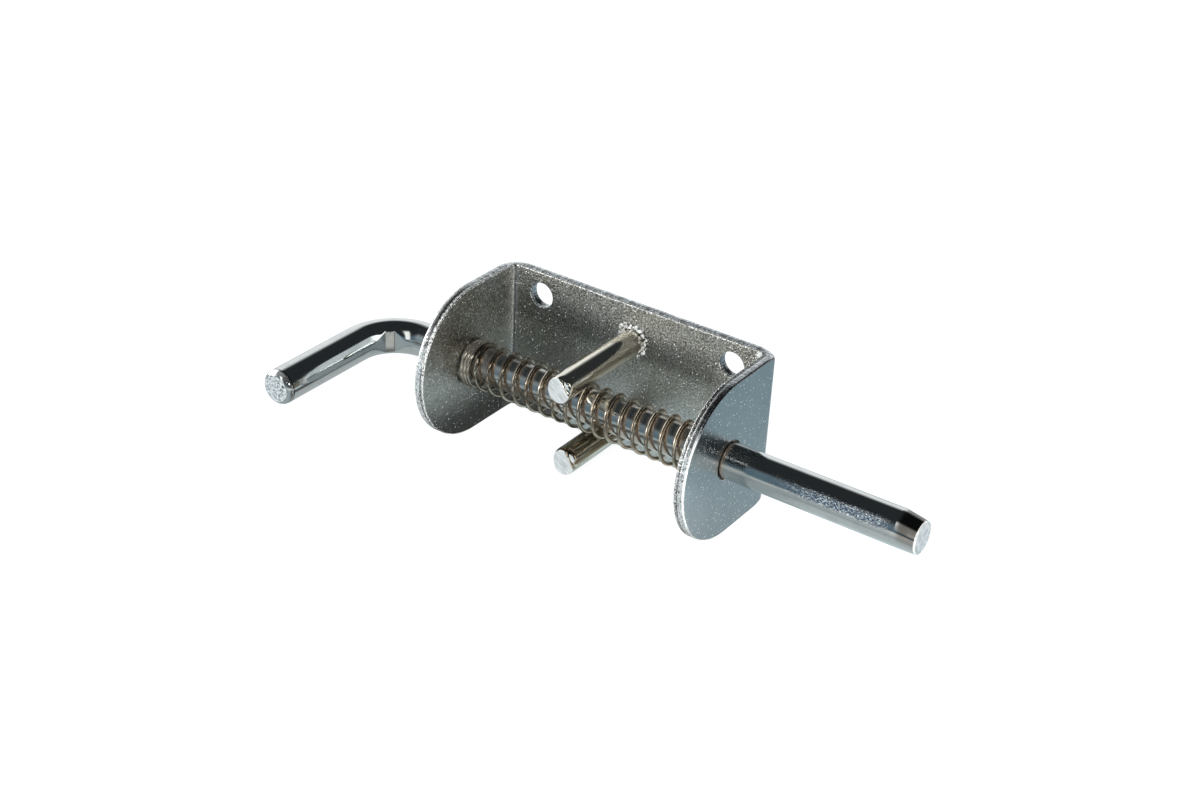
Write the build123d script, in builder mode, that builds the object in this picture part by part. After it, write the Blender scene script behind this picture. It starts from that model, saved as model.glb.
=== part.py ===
"""Spring latch: a bent strip bracket that carries a spring-loaded round bolt with a bent handle.

Frame: millimetres, +Z up. The origin is the centre of the four mounting holes on the back face.
+X runs along the bolt towards its nose, and +Y points into the wall that the bracket is fixed to.
"""
import os
from math import cos, radians, sin

from build123d import *

os.makedirs("parts", exist_ok=True)

# bracket: one strip of steel bent into a U, with a back plate and two ears
strip_thickness = 5.0
strip_width = 72.0
inner_width = 130.0
ear_depth = 70.0
inner_bend_radius = 0.8
rolled_edge_break = 0.5

# holes punched through the back plate
mounting_hole_diameter = 12.0
mounting_spacing_x = 100.0
mounting_spacing_z = 50.0

# bolt: one round bar, straight through both ears and bent forwards as the handle
bolt_diameter = 16.0
bolt_to_wall = 35.0
nose_reach = 89.5
nose_taper_length = 10.0
nose_taper_depth = 0.85
nose_tip_drop = 0.6
nose_tip_forward = 0.4
nose_edge_break = 0.6
handle_offset = 43.5
handle_reach = 75.0
handle_bend_radius = 22.0
handle_end_chamfer = 1.7
ear_hole_clearance = 0.7

# flats that the bending tool pressed into the inside of the bend, as angles from the bend's middle
press_depth = 2.1
press_flat_from = -4.0
press_flat_to = 10.5
press_ends_from = -42.0
press_ends_to = 38.0

# coil spring on the bolt, pushing the nose outwards
wire_diameter = 1.7
wire_sides = 6
spring_clearance = 1.3
spring_rest_gap = 0.1
spring_end_gap = 0.05
closed_turns_at_ear = 3
open_turns = 16
closed_turns_at_washer = 2
closed_turn_gap = 0.05
first_turn_angle = 18.0

# washer and cross pin that the spring pushes against
washer_thickness = 2.5
washer_margin = 1.0
washer_bore_clearance = 0.3
washer_edge_break = 0.3
cross_pin_diameter = 5.0
cross_pin_chamfer = 0.5
stop_gap = 0.1
washer_seat_gap = 0.1

# two round pins welded to the front of the plate, above and below the bolt
pin_diameter = 12.0
upper_pin_length = 56.0
lower_pin_length = 50.0
pin_passage = 1.0
pin_end_chamfer = 0.5
weld_height = 2.2
weld_slope = 35.0

# how far the weld spreads from each pin, in even steps round it: seen from the front, from +X towards +Z
upper_weld_spread = [2.1, 2.5, 1.9, 2.4, 3.0, 3.4, 2.4, 1.8, 2.2, 2.7, 2.3, 2.0]
lower_weld_spread = [2.3, 1.9, 2.4, 2.2, 2.8, 2.1, 2.6, 3.1, 2.3, 1.9, 2.5, 2.1]

# places worked out from the sizes above
half_inner = inner_width / 2
half_outer = half_inner + strip_thickness
ear_nose_radius = strip_width / 2
ear_nose_y = ear_nose_radius - ear_depth
plate_front_y = -strip_thickness
bolt_radius = bolt_diameter / 2
bolt_y = -bolt_to_wall
nose_x = half_outer + nose_reach
taper_x = nose_x - nose_taper_length
handle_x = -half_outer - handle_offset
handle_end_y = bolt_y - handle_reach
bend_x = handle_x + handle_bend_radius
bend_y = bolt_y - handle_bend_radius
bend_inner_radius = handle_bend_radius - bolt_radius
cross_pin_x = half_inner - stop_gap - cross_pin_diameter / 2
washer_x = cross_pin_x - cross_pin_diameter / 2 - washer_seat_gap - washer_thickness
spring_inner_radius = bolt_radius + spring_clearance
spring_outer_radius = spring_inner_radius + wire_diameter
coil_radius = spring_inner_radius + wire_diameter / 2
spring_drop = spring_clearance - spring_rest_gap
spring_start_x = -half_inner + spring_end_gap + wire_diameter / 2
spring_end_x = washer_x - spring_end_gap - wire_diameter / 2
closed_pitch = wire_diameter + closed_turn_gap
closed_length_at_ear = closed_turns_at_ear * closed_pitch
closed_length_at_washer = closed_turns_at_washer * closed_pitch
open_length = spring_end_x - spring_start_x - closed_length_at_ear - closed_length_at_washer
washer_radius = spring_outer_radius + washer_margin
pin_radius = pin_diameter / 2
pin_offset = washer_radius + pin_passage + pin_radius


# bracket: the U section is raised to the strip's width, then the ears are cut to a round nose
with BuildPart() as bracket:
    with BuildSketch(Plane.XY.offset(-strip_width / 2)):
        with BuildLine():
            Polyline(
                (-half_outer, -ear_depth),
                (-half_outer, 0),
                (half_outer, 0),
                (half_outer, -ear_depth),
                (half_inner, -ear_depth),
                (half_inner, plate_front_y),
                (-half_inner, plate_front_y),
                (-half_inner, -ear_depth),
                close=True,
            )
        make_face()
        outer_corners = vertices().group_by(Axis.Y)[-1]
        inner_corners = vertices().group_by(Axis.Y)[-2]
        fillet(outer_corners, inner_bend_radius + strip_thickness)
        fillet(inner_corners, inner_bend_radius)
    extrude(amount=strip_width)
    with BuildSketch(Plane.YZ.offset(-half_outer)):
        with Locations((ear_nose_y / 2, 0)):
            Rectangle(-ear_nose_y, strip_width)
        with Locations((ear_nose_y, 0)):
            Circle(ear_nose_radius)
    extrude(amount=2 * half_outer, mode=Mode.INTERSECT)
    plate_back = faces().sort_by(Axis.Y)[-1]
    chamfer(plate_back.edges().filter_by(Axis.X), rolled_edge_break)
    with BuildSketch(Plane.XZ):
        with GridLocations(mounting_spacing_x, mounting_spacing_z, 2, 2):
            Circle(mounting_hole_diameter / 2)
    extrude(amount=strip_thickness, mode=Mode.SUBTRACT)
    with BuildSketch(Plane.YZ.offset(-half_outer)):
        with Locations((bolt_y, 0)):
            Circle(bolt_radius + ear_hole_clearance)
    extrude(amount=2 * half_outer, mode=Mode.SUBTRACT)
bracket.part.label = "bracket"
export_step(bracket.part, "parts/bracket.step")


def pressed_flat_corner(depth, angle):
    """Point this deep in the inside of the bend, at an angle from the bend's middle."""
    distance = bend_inner_radius + depth
    direction = radians(135 + angle)
    return (bend_x + distance * cos(direction), bend_y + distance * sin(direction))


# bolt: the bar's nose is ground to a taper that takes more off its top and back than its underside,
# its other end is bent forwards and cropped
with BuildPart() as bolt:
    with BuildLine():
        bar = Line((taper_x, bolt_y), (bend_x, bolt_y))
        bend = JernArc(start=bar @ 1, tangent=bar % 1, radius=handle_bend_radius, arc_size=90)
        Line(bend @ 1, (handle_x, handle_end_y))
    with BuildSketch(Plane(origin=bar @ 0, z_dir=bar % 0)):
        Circle(bolt_radius)
    sweep()
    with BuildSketch(Plane.YZ.offset(taper_x)):
        with Locations((bolt_y, 0)):
            Circle(bolt_radius)
    with BuildSketch(Plane.YZ.offset(nose_x)):
        with Locations((bolt_y - nose_tip_forward, -nose_tip_drop)):
            Circle(bolt_radius - nose_taper_depth)
    loft()
    chamfer(faces().sort_by(Axis.X)[-1].edges(), nose_edge_break)
    chamfer(faces().sort_by(Axis.Y)[0].edges(), handle_end_chamfer)
    with BuildSketch(Plane.XY):
        with BuildLine():
            Polyline(
                (bend_x, bend_y),
                pressed_flat_corner(0, press_ends_from),
                pressed_flat_corner(press_depth, press_flat_from),
                pressed_flat_corner(press_depth, press_flat_to),
                pressed_flat_corner(0, press_ends_to),
                close=True,
            )
        make_face()
    extrude(amount=bolt_radius, both=True, mode=Mode.SUBTRACT)
    with BuildSketch(Plane.XY):
        with Locations((cross_pin_x, bolt_y)):
            Circle(cross_pin_diameter / 2)
    extrude(amount=bolt_radius, both=True, mode=Mode.SUBTRACT)
bolt.part.label = "bolt"
export_step(bolt.part, "parts/bolt.step")


# spring: close turns against the left ear and the washer, open turns between, hanging on the bolt;
# its round wire is swept as a six-sided one, which keeps so many turns light
coil_plane = Plane(
    origin=(spring_start_x, bolt_y, -spring_drop),
    x_dir=(0, cos(radians(first_turn_angle)), sin(radians(first_turn_angle))),
    z_dir=(1, 0, 0),
)
with BuildLine() as coil:
    Helix(closed_pitch, closed_length_at_ear, coil_radius)
    Helix(open_length / open_turns, open_length, coil_radius, center=(0, 0, closed_length_at_ear))
    Helix(
        closed_pitch,
        closed_length_at_washer,
        coil_radius,
        center=(0, 0, closed_length_at_ear + open_length),
    )
coil_path = coil_plane.location * coil.wire()
with BuildPart() as spring:
    with BuildSketch(Plane(origin=coil_path @ 0, x_dir=coil_plane.x_dir, z_dir=coil_path % 0)):
        RegularPolygon(wire_diameter / 2, wire_sides)
    sweep(path=coil_path, is_frenet=True, transition=Transition.TRANSFORMED)
spring.part.label = "spring"
export_step(spring.part, "parts/spring.step")


# washer: a turned ring, loose on the bolt between the spring and the cross pin
with BuildPart() as washer:
    with BuildSketch(Plane.YZ.offset(washer_x)):
        with Locations((bolt_y, 0)):
            Circle(washer_radius)
            Circle(bolt_radius + washer_bore_clearance, mode=Mode.SUBTRACT)
    extrude(amount=washer_thickness)
    rims = edges().filter_by(GeomType.CIRCLE).group_by(SortBy.RADIUS)[-1]
    chamfer(rims, washer_edge_break)
washer.part.label = "washer"
export_step(washer.part, "parts/washer.step")


# cross pin: pressed upright through the bolt, it stops the bolt at the right ear
with BuildPart() as cross_pin:
    with BuildSketch(Plane.XY.offset(-spring_outer_radius)):
        with Locations((cross_pin_x, bolt_y)):
            Circle(cross_pin_diameter / 2)
    extrude(amount=2 * spring_outer_radius)
    chamfer(edges().filter_by(GeomType.CIRCLE), cross_pin_chamfer)
cross_pin.part.label = "cross_pin"
export_step(cross_pin.part, "parts/cross_pin.step")


# pins and their welds: each pin is cropped bar, stood on the plate and welded round its foot
for name, height, length, spread in (
    ("upper_pin", pin_offset, upper_pin_length, upper_weld_spread),
    ("lower_pin", -pin_offset, lower_pin_length, lower_weld_spread),
):
    foot_plane = Plane(origin=(0, plate_front_y, height), x_dir=(1, 0, 0), z_dir=(0, -1, 0))
    with BuildPart() as pin:
        with BuildSketch(foot_plane):
            Circle(pin_radius)
        extrude(amount=length)
        chamfer(faces().sort_by(Axis.Y)[0].edges(), pin_end_chamfer)
    pin.part.label = name
    export_step(pin.part, f"parts/{name}.step")

    weld_edge = []
    for step, width in enumerate(spread):
        angle = radians(360 * step / len(spread))
        weld_edge.append(((pin_radius + width) * cos(angle), (pin_radius + width) * sin(angle)))
    with BuildPart() as weld:
        with BuildSketch(foot_plane):
            Polygon(*weld_edge, align=None)
        extrude(amount=weld_height, taper=weld_slope)
        with BuildSketch(foot_plane):
            Circle(pin_radius)
        extrude(amount=weld_height, mode=Mode.SUBTRACT)
    weld.part.label = name + "_weld"
    export_step(weld.part, f"parts/{name}_weld.step")
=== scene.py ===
"""Spring latch: a bent strip bracket with a spring-loaded round bolt, dressed in its plated steel."""
from math import cos, degrees, exp, hypot, pi, radians, sin
from random import Random

import bmesh
import bpy
from mathutils import Matrix, Vector, noise


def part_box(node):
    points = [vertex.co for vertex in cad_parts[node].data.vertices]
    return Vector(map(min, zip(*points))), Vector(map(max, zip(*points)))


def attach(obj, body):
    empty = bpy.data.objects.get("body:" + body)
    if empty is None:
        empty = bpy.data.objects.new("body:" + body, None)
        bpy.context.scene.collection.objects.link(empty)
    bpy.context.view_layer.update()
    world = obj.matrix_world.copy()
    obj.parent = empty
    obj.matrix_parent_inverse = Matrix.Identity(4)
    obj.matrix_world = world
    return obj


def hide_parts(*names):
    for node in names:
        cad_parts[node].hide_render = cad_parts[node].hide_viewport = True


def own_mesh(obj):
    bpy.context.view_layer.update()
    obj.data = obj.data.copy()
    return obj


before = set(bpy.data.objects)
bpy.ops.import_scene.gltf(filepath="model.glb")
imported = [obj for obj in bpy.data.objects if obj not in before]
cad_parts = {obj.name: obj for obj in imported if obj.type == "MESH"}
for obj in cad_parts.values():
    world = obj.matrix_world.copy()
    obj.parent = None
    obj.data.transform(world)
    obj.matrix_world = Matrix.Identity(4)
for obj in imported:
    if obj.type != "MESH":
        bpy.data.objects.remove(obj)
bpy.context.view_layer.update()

mm = 0.001


# bracket
# The bracket is one strip of 5 mm steel, punched from the outside, bent into a U over a sharp tool and
# zinc plated. The punch rolled its outer rims over, and left a fine burr round the inner ones.
bracket_low, bracket_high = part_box("bracket")
strip_thickness = 5 * mm
inner_bend = 0.8 * mm
half_width = bracket_high.z
half_inner = bracket_high.x - strip_thickness
half_flat = half_inner - inner_bend
bend_run = (inner_bend + strip_thickness / 2) * pi / 2
ear_run = -bracket_low.y - strip_thickness - inner_bend
screw_hole_radius = 6 * mm
screw_spacing_x, screw_spacing_z = 100 * mm, 50 * mm
screw_holes = [(x * screw_spacing_x / 2, z * screw_spacing_z / 2) for z in (1, -1) for x in (1, -1)]
bolt_low, bolt_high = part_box("bolt")
bolt_radius = bolt_high.z
bolt_y = bolt_high.y - bolt_radius
ear_hole_clearance = 0.7 * mm
ear_hole_radius = bolt_radius + ear_hole_clearance
ear_hole_run = -bolt_y - strip_thickness - inner_bend

# what the punch rolled over and left standing, and how the bend swelled the inside and drew the rim in
rim_roll, rim_burr = 0.80 * mm, 0.34 * mm
hole_roll, hole_burr = 0.6 * mm, 0.18 * mm
swell_height, swell_length, swell_end = 0.32 * mm, 1.3 * mm, 6 * mm
outside_pull, outside_spread = 1.35 * mm, 3.6 * mm
fold_pull, fold_spread, fold_depth = 0.7 * mm, 0.5 * mm, 1.1 * mm


def fold(along, across, depth):
    """Place of a point of the flat blank once its ears are bent; depth is counted from the inner face."""
    side = 1 if along > 0 else -1
    past_plate = abs(along) - half_flat
    from_bend = max(-past_plate, past_plate - bend_run, 0)
    swell = swell_height * exp(-from_bend / swell_length) if from_bend < swell_end else 0
    depth -= swell * (1 - depth / strip_thickness)
    if past_plate <= 0:
        return Vector((along, depth - strip_thickness, across))
    reach = inner_bend + depth
    if past_plate <= bend_run:
        turn = past_plate / bend_run * pi / 2
        out, back = half_flat + reach * sin(turn), reach * cos(turn) - strip_thickness - inner_bend
        return Vector((side * out, back, across))
    back = bend_run - past_plate - strip_thickness - inner_bend
    return Vector((side * (half_inner + depth), back, across))


def rim_section(run, roll, burr):
    """Section of a punched rim as (inset, depth) pairs: burr, torn part, sheared part, rolled-over edge."""
    wander = 0.25 * mm * noise.noise(Vector((run / (3 * mm), 3, 1)))
    jag = 0.06 * mm * noise.noise(Vector((run / (0.9 * mm), 7, 2)))
    roll = roll * (1 + 0.2 * noise.noise(Vector((run / (7 * mm), 1, 5))))
    full = strip_thickness
    return [
        (burr * 2.2, 0),
        (burr * 1.2 + jag, 0.03 * mm),
        (burr * 0.5 + jag, 0.15 * mm),
        (burr * 0.12 + jag, 0.36 * mm),
        (jag * 0.5, 0.62 * mm),
        (0.10 * mm, 0.95 * mm + wander),
        (0.24 * mm - jag, 1.25 * mm + wander),
        (0.22 * mm - jag, 1.6 * mm + wander),
        (0.06 * mm, 2.1 * mm + wander),
        (0, 2.6 * mm + wander * 0.5),
        (0.03 * mm, full - roll * 1.25),
        (roll * 0.10, full - roll * 0.85),
        (roll * 0.26, full - roll * 0.5),
        (roll * 0.50, full - roll * 0.24),
        (roll * 0.82, full - roll * 0.07),
        (roll * 1.25, full),
    ]


def corner_pull(along, depth):
    """How far the bend has drawn the rim in: most at the outside, and in a small fold at the inside."""
    from_middle = abs(abs(along) - half_flat - bend_run / 2)
    outward = (max(depth, 0) / strip_thickness) ** 1.5
    outside = outside_pull * exp(-((from_middle / outside_spread) ** 2)) * outward
    inside = fold_pull * exp(-((from_middle / fold_spread) ** 2)) * max(1 - depth / fold_depth, 0)
    return outside + inside


blank_end = half_flat + bend_run + ear_run - half_width
step = 0.8 * mm
beside_bend = 5 * mm
beside_pieces, bend_pieces = 8, 12
stations = [0.0]
for stretch_end, pieces in (
    (half_flat - beside_bend, round((half_flat - beside_bend) / step)),
    (half_flat, beside_pieces),
    (half_flat + bend_run, bend_pieces),
    (half_flat + bend_run + beside_bend, beside_pieces),
    (blank_end, round((blank_end - half_flat - bend_run - beside_bend) / step)),
):
    start = stations[-1]
    stations += [start + (stretch_end - start) * (i + 1) / pieces for i in range(pieces)]
stations = [-s for s in reversed(stations[1:])] + stations
nose_steps = 144
nose_angles = [pi / 2 - pi * (i + 1) / nose_steps for i in range(nose_steps - 1)]
outline = [(s, half_width, 0, 1) for s in stations]
outline += [(blank_end + half_width * cos(a), half_width * sin(a), cos(a), sin(a)) for a in nose_angles]
outline += [(s, -half_width, 0, -1) for s in reversed(stations)]
outline += [(-blank_end - half_width * cos(a), -half_width * sin(a), -cos(a), -sin(a)) for a in nose_angles]
runs = [0.0]
for (a0, c0, _, _), (a1, c1, _, _) in zip(outline, outline[1:]):
    runs.append(runs[-1] + hypot(a1 - a0, c1 - c0))

sheet = bmesh.new()
edge_run = sheet.verts.layers.float.new("edge_run")
edge_depth = sheet.verts.layers.float.new("edge_depth")
rim = []
for (along, across, na, nc), run in zip(outline, runs):
    ring = []
    for inset, depth in rim_section(run, rim_roll, rim_burr):
        inset += corner_pull(along, depth)
        vert = sheet.verts.new(fold(along - inset * na, across - inset * nc, depth))
        vert[edge_run], vert[edge_depth] = run, depth / strip_thickness
        ring.append(vert)
    rim.append(ring)


def skin(rings, closed, material):
    """Smooth faces between neighbouring rings of points."""
    pairs = list(zip(rings, rings[1:])) + ([(rings[-1], rings[0])] if closed else [])
    for a, b in pairs:
        for j in range(len(a) - 1):
            face = sheet.faces.new((a[j], b[j], b[j + 1], a[j + 1]))
            face.smooth = True
            middle = j in range(1, len(a) - 2)
            face.material_index = material if middle else 0


skin(rim, True, 1)
hole_steps = 72
holes = {"plate": [], "left ear": [], "right ear": []}
for along, across, radius, place in (
    [(a, c, screw_hole_radius, "plate") for a, c in screw_holes]
    + [(side * (half_flat + bend_run + ear_hole_run), 0, ear_hole_radius, name)
       for side, name in ((-1, "left ear"), (1, "right ear"))]
):
    wall = []
    for i in range(hole_steps):
        turn = 2 * pi * i / hole_steps
        ring = []
        for inset, depth in rim_section(turn * radius, hole_roll, hole_burr):
            reach = radius + inset
            vert = sheet.verts.new(fold(along + reach * cos(turn), across + reach * sin(turn), depth))
            vert[edge_run], vert[edge_depth] = turn * radius, depth / strip_thickness
            ring.append(vert)
        wall.append(ring)
    skin(wall, True, 1)
    holes[place].append(wall)

count = len(stations)
arc = len(nose_angles)
opposite = [count + arc + count - 1 - k for k in range(count)]
plate_edge = half_flat - beside_bend + 1e-9
plate_from = min(k for k, s in enumerate(stations) if s >= -plate_edge)
plate_to = max(k for k, s in enumerate(stations) if s <= plate_edge)
strips = 2 * beside_pieces + bend_pieces
left_to, right_from = plate_from - strips, plate_to + strips
rim_loops = {
    "plate": list(range(plate_from, plate_to + 1))
    + [opposite[k] for k in range(plate_to, plate_from - 1, -1)],
    "right ear": list(range(right_from, opposite[right_from] + 1)),
    "left ear": [opposite[k] for k in range(left_to, -1, -1)]
    + list(range(2 * count + arc, 2 * count + 2 * arc)) + list(range(left_to + 1)),
}
for place, loop in rim_loops.items():
    for j in (0, -1):
        edges = []
        for ring in [[rim[i] for i in loop]] + holes[place]:
            verts = [r[j] for r in ring]
            for a, b in zip(verts, verts[1:] + verts[:1]):
                edges.append(sheet.edges.get((a, b)) or sheet.edges.new((a, b)))
        filled = bmesh.ops.triangle_fill(sheet, use_beauty=True, edges=edges)
        for face in filled["geom"]:
            if isinstance(face, bmesh.types.BMFace):
                face.smooth = False
for first in (left_to, plate_to):
    for k in range(first, first + strips):
        for j in (0, -1):
            a, b = rim[k][j], rim[k + 1][j]
            c, d = rim[opposite[k + 1]][j], rim[opposite[k]][j]
            sheet.faces.new((a, b, c, d)).smooth = True
bmesh.ops.recalc_face_normals(sheet, faces=sheet.faces)


def in_scene(name, data):
    """A new object of the scene, at the origin."""
    thing = bpy.data.objects.new(name, data)
    bpy.context.scene.collection.objects.link(thing)
    return thing


def piece_from(name, mesh_in_work):
    """A finished piece from a bmesh."""
    mesh = bpy.data.meshes.new(name)
    mesh_in_work.to_mesh(mesh)
    mesh_in_work.free()
    return in_scene(name, mesh)


bracket = piece_from("plated_bracket", sheet)


class Number:
    """One value in a node tree. Sums, products and the like of such values add Math nodes to the tree."""

    def __init__(self, tree, socket):
        self.tree, self.socket = tree, socket

    def maths(self, operation, *terms):
        return self.tree.add("ShaderNodeMath", {"operation": operation}, dict(enumerate(terms)))

    def __add__(self, other):
        return self.maths("ADD", self, other)

    __radd__ = __add__

    def __mul__(self, other):
        return self.maths("MULTIPLY", self, other)

    __rmul__ = __mul__

    def __sub__(self, other):
        return self.maths("SUBTRACT", self, other)

    def __rsub__(self, other):
        return self.maths("SUBTRACT", other, self)

    def __truediv__(self, other):
        return self.maths("DIVIDE", self, other)

    def least(self, other):
        return self.maths("MINIMUM", self, other)

    def most(self, other):
        return self.maths("MAXIMUM", self, other)

    def rise(self, low, high):
        """0 below low, 1 above high, and a smooth rise from one to the other."""
        limits = {0: self, 1: low, 2: high, 3: 0.0, 4: 1.0}
        return self.tree.add("ShaderNodeMapRange", {"interpolation_type": "SMOOTHSTEP"}, limits)

    def fall(self, low, high):
        """1 below low, 0 above high, and a smooth fall from one to the other."""
        return 1.0 - self.rise(low, high)


class Tree:
    """A node tree in the making: add() makes one node from its type, its settings and its sockets."""

    def __init__(self, tree):
        self.tree = tree

    def add(self, kind, settings=None, sockets=None, output=0):
        node = self.tree.nodes.new(kind)
        for name, value in (settings or {}).items():
            setattr(node, name, value)
        for name, value in (sockets or {}).items():
            if isinstance(value, Number):
                self.tree.links.new(value.socket, node.inputs[name])
            else:
                node.inputs[name].default_value = value
        return Number(self, node.outputs[output]) if node.outputs else node

    def place(self):
        """Where a point lies on its piece."""
        return self.add("ShaderNodeTexCoord", output="Object")

    def coordinate(self, axis, place):
        """How far along one axis a place lies."""
        return self.add("ShaderNodeSeparateXYZ", {}, {"Vector": place}, output=axis)

    def attribute(self, name, output="Fac"):
        """What the mesh holds under this name."""
        return self.add("ShaderNodeAttribute", {"attribute_name": name}, output=output)

    def measure(self, operation, *places):
        """One number from places: their distance, length or dot product."""
        sockets = dict(enumerate(places))
        return self.add("ShaderNodeVectorMath", {"operation": operation}, sockets, output="Value")

    def noise(self, grain, detail=2.0, roughness=0.5, stretch=(1, 1, 1), source=None):
        """Noise whose lumps are about as large as grain, in metres, drawn out along an axis by stretch."""
        scale = [1 / s for s in stretch]
        drawn = self.add("ShaderNodeMapping", {}, {"Vector": source or self.place(), "Scale": scale})
        inputs = {"Vector": drawn, "Scale": 1 / grain, "Detail": detail, "Roughness": roughness}
        return self.add("ShaderNodeTexNoise", {}, inputs)

    def tint(self, factor, first, second):
        """A colour that goes from the first to the second with the factor."""
        return self.add("ShaderNodeMix", {"data_type": "RGBA"}, {0: factor, 6: first, 7: second}, output=2)

    def relief(self, height, distance):
        """Normals of a surface with this relief; a height of 1 stands out by the distance, in metres."""
        return self.add("ShaderNodeBump", {}, {"Height": height, "Distance": distance})


def finish_for(name, slot_colour):
    """A new material, with the tree that makes its finish."""
    material = bpy.data.materials.new(name)
    material.use_nodes = True
    material.node_tree.nodes.clear()
    material.diffuse_color = slot_colour
    return material, Tree(material.node_tree)


def show(tree, sockets):
    """Close a finish with its metal shader."""
    metal = tree.add("ShaderNodeBsdfPrincipled", {}, {"Metallic": 1.0, **sockets})
    tree.add("ShaderNodeOutputMaterial", {}, {"Surface": metal})


# satin zinc on rolled sheet: cool and smooth outside, and inside a coarse grain with small pits and painted
# glints; beside the fold a painted highlight and a painted bluish reflection, and in the fold itself painted
# shade
satin_zinc, tree = finish_for("satin_zinc", (0.55, 0.57, 0.58, 1))
grime, shade, spark = (0.16, 0.15, 0.13, 1), (0.10, 0.10, 0.09, 1), (0.97, 0.98, 0.99, 1)
inside = tree.attribute("edge_depth").fall(0.0, 1.0)
sheet_place = tree.place()
sheet_x = tree.coordinate("X", sheet_place)
sheet_y = tree.coordinate("Y", sheet_place)
height = tree.coordinate("Z", sheet_place)
from_ear = half_inner - sheet_x.maths("ABSOLUTE", sheet_x)
from_plate = -strip_thickness - sheet_y
clouds = tree.noise(11 * mm, detail=3)
grain = tree.noise(0.85 * mm, detail=3, roughness=0.7)
coarse = tree.noise(1.9 * mm, detail=2, roughness=0.6)
cell_inputs = {"Vector": sheet_place, "Scale": 1 / (1.25 * mm)}
cells = tree.add("ShaderNodeTexVoronoi", {}, cell_inputs, output="Distance")
cell_tone = tree.coordinate("X", Number(tree, cells.socket.node.outputs["Color"]))
sparkle = cells.fall(0.10, 0.29) * cell_tone.rise(0.50, 0.95)
glint_dots = cells.fall(0.12, 0.25) * cell_tone.rise(0.74, 0.78)
pits = tree.noise(1.5 * mm, detail=2, roughness=0.6).rise(0.66, 0.72)
on_ear = inside * from_ear.fall(0.3 * mm, 1.0 * mm)
worn = inside * (0.55 + 0.7 * height.rise(-6 * mm, 26 * mm)) * (1.0 - on_ear * 0.45) + 0.12
# painted highlight: the grain beside the ear fold is tinted near white and made less metallic
ear_fold_highlight = inside * from_ear.fall(0.2 * mm, 0.9 * mm) * from_plate.fall(2.2 * mm, 8.0 * mm)
ear_fold_highlight = ear_fold_highlight * (0.35 + from_plate.fall(0.9 * mm, 2.4 * mm) * 0.65)
ear_fold_highlight = ear_fold_highlight * (0.35 + 0.75 * height.rise(-20 * mm, 34 * mm))
# painted reflection: a pale bluish band on the plate beside the fold
plate_fold_reflection = inside * from_plate.fall(0.2 * mm, 0.6 * mm) * from_ear.fall(1.0 * mm, 3.0 * mm)
# painted shade: dark in the fold itself
fold_shade = inside * (from_ear + from_plate).fall(0.9 * mm, 1.5 * mm)
# painted highlight: a near-white strip at the top of the right fold
fold_top_highlight = inside * height.rise(30.5 * mm, 33.5 * mm) * sheet_x.rise(0.0, 1.0 * mm)
fold_top_highlight = fold_top_highlight * from_plate.fall(0.2 * mm, 0.6 * mm) * from_ear.fall(2.4 * mm, 4.2 * mm)
# painted reflection: inside, lighter and cooler low down, warmer and darker higher up
low_down_reflection = height.fall(-14 * mm, 20 * mm)
dull_inside = tree.tint(low_down_reflection, (0.50, 0.47, 0.41, 1), (0.53, 0.54, 0.52, 1))
dull_metal = tree.tint(inside, (0.57, 0.61, 0.63, 1), dull_inside)
light_metal = tree.tint(inside, (0.60, 0.64, 0.655, 1), (0.62, 0.60, 0.55, 1))
colour = tree.tint(clouds.rise(0.35, 0.65), dull_metal, light_metal)
colour = tree.tint(grain.fall(0.38, 0.52) * worn * 0.65, colour, grime)
colour = tree.tint(grain.rise(0.50, 0.62) * worn * 0.60, colour, (0.94, 0.94, 0.92, 1))
# painted shade: darker low on the ears' inner faces, away from the fold
ear_low_shade = on_ear * from_plate.rise(5 * mm, 9 * mm) * height.fall(-32 * mm, -4 * mm)
colour = tree.tint(ear_low_shade * 0.45, colour, shade)
# painted shade: a dark band across the inside, mottled by the clouds
dark_band_shade = inside * height.rise(8 * mm, 15 * mm) * height.fall(19 * mm, 31 * mm)
dark_band_shade = dark_band_shade * sheet_x.fall(38 * mm, 50 * mm) * from_plate.fall(0.3 * mm, 1.0 * mm)
colour = tree.tint(dark_band_shade * (0.35 + clouds * 0.35), colour, shade)
colour = tree.tint(ear_fold_highlight * (grain * 2.4 - 0.45), colour, (0.98, 0.98, 0.95, 1))
colour = tree.tint(fold_top_highlight, colour, (0.98, 0.98, 0.96, 1))
colour = tree.tint(plate_fold_reflection * 0.5, colour, (0.80, 0.88, 0.92, 1))
colour = tree.tint(fold_shade * 0.8, colour, (0.13, 0.14, 0.14, 1))
colour = tree.tint(pits * worn * 0.6, colour, grime)
# painted glints: white specks in the base colour, made less metallic
colour = tree.tint(sparkle * (0.25 + worn * 0.6), colour, spark)
colour = tree.tint(glint_dots, colour, spark)
glints = (sparkle * (worn * 0.6 + 0.25)).most(glint_dots * 0.65)
# the painted fold highlights are also made less metallic
fold_highlights = (ear_fold_highlight * grain.rise(0.3, 0.6)).most(fold_top_highlight)
show(tree, {
    "Base Color": colour,
    "Metallic": 1.0 - glints - fold_highlights * 0.45,
    "Roughness": 0.24 + clouds * 0.04 + grain * worn * 0.08 - sparkle * 0.10,
    "Normal": tree.relief((grain + coarse * 0.5) * worn - pits * worn * 0.4, 0.40 * mm),
})

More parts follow.
